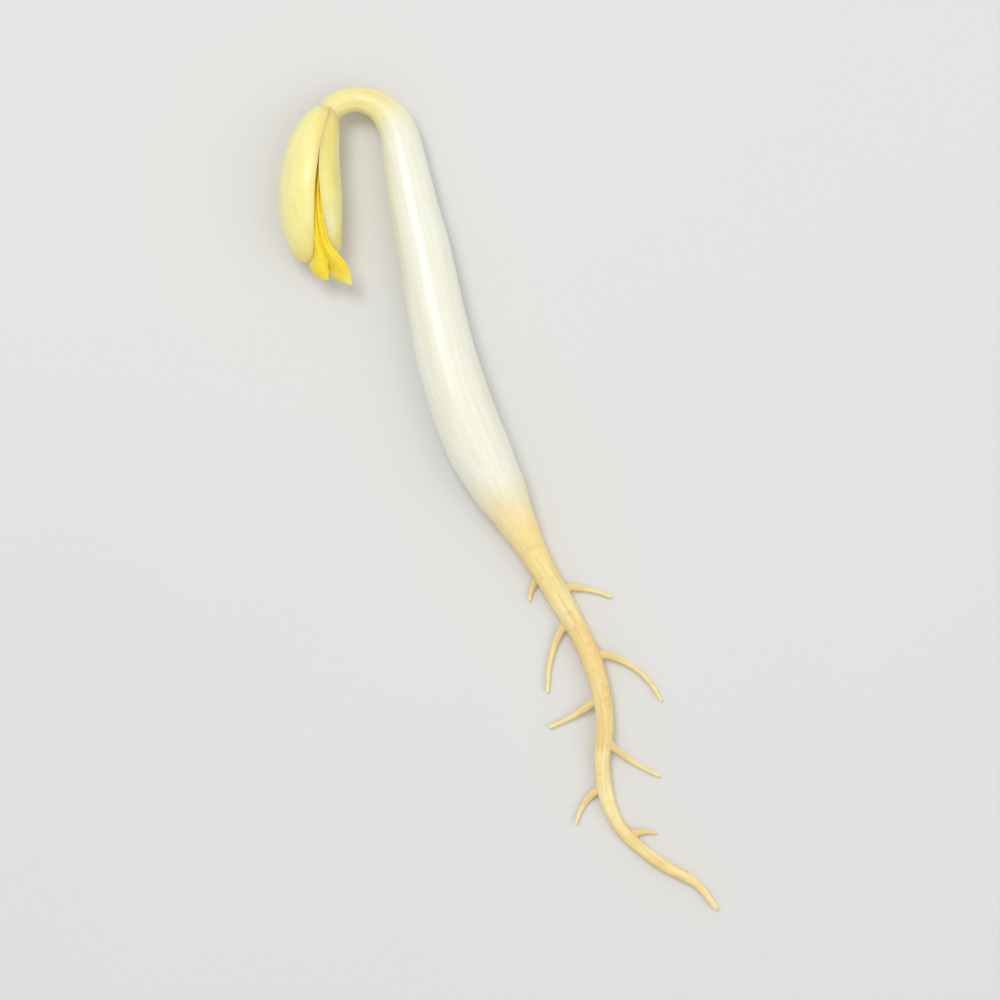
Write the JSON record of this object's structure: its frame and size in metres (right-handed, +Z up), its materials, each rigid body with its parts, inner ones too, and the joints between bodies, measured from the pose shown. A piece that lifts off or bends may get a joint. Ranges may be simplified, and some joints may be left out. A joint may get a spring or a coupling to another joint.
{
  "type": "mung bean sprout",
  "caption": "Mung bean sprout lying on its side: hooked white stem, pale yellow seed leaves with yellow first leaves between them, and a thin tan root.",
  "frame": {"origin": "on the surface that the sprout lies on, under the middle of its bounding box", "axes": "+Z up from the surface; +Y along the sprout from the root tip to the hook; +X to the side that the root tip bends to"},
  "size_m": [0.0234, 0.0438, 0.0037],
  "materials": {
    "stem": "moist white translucent plant skin, faint lengthwise lines",
    "root": "tan root skin, finely wrinkled",
    "seed_leaf": "pale yellow smooth waxy skin, warmer towards the seam",
    "first_leaf": "bright yellow young leaf, faintly veined"
  },
  "bodies": {
    "root": {"hypocotyl": "stem", "root": "root", "seed_leaf_left": "seed_leaf", "seed_leaf_right": "seed_leaf", "primary_leaves": "first_leaf"}
  },
  "joints": []
}
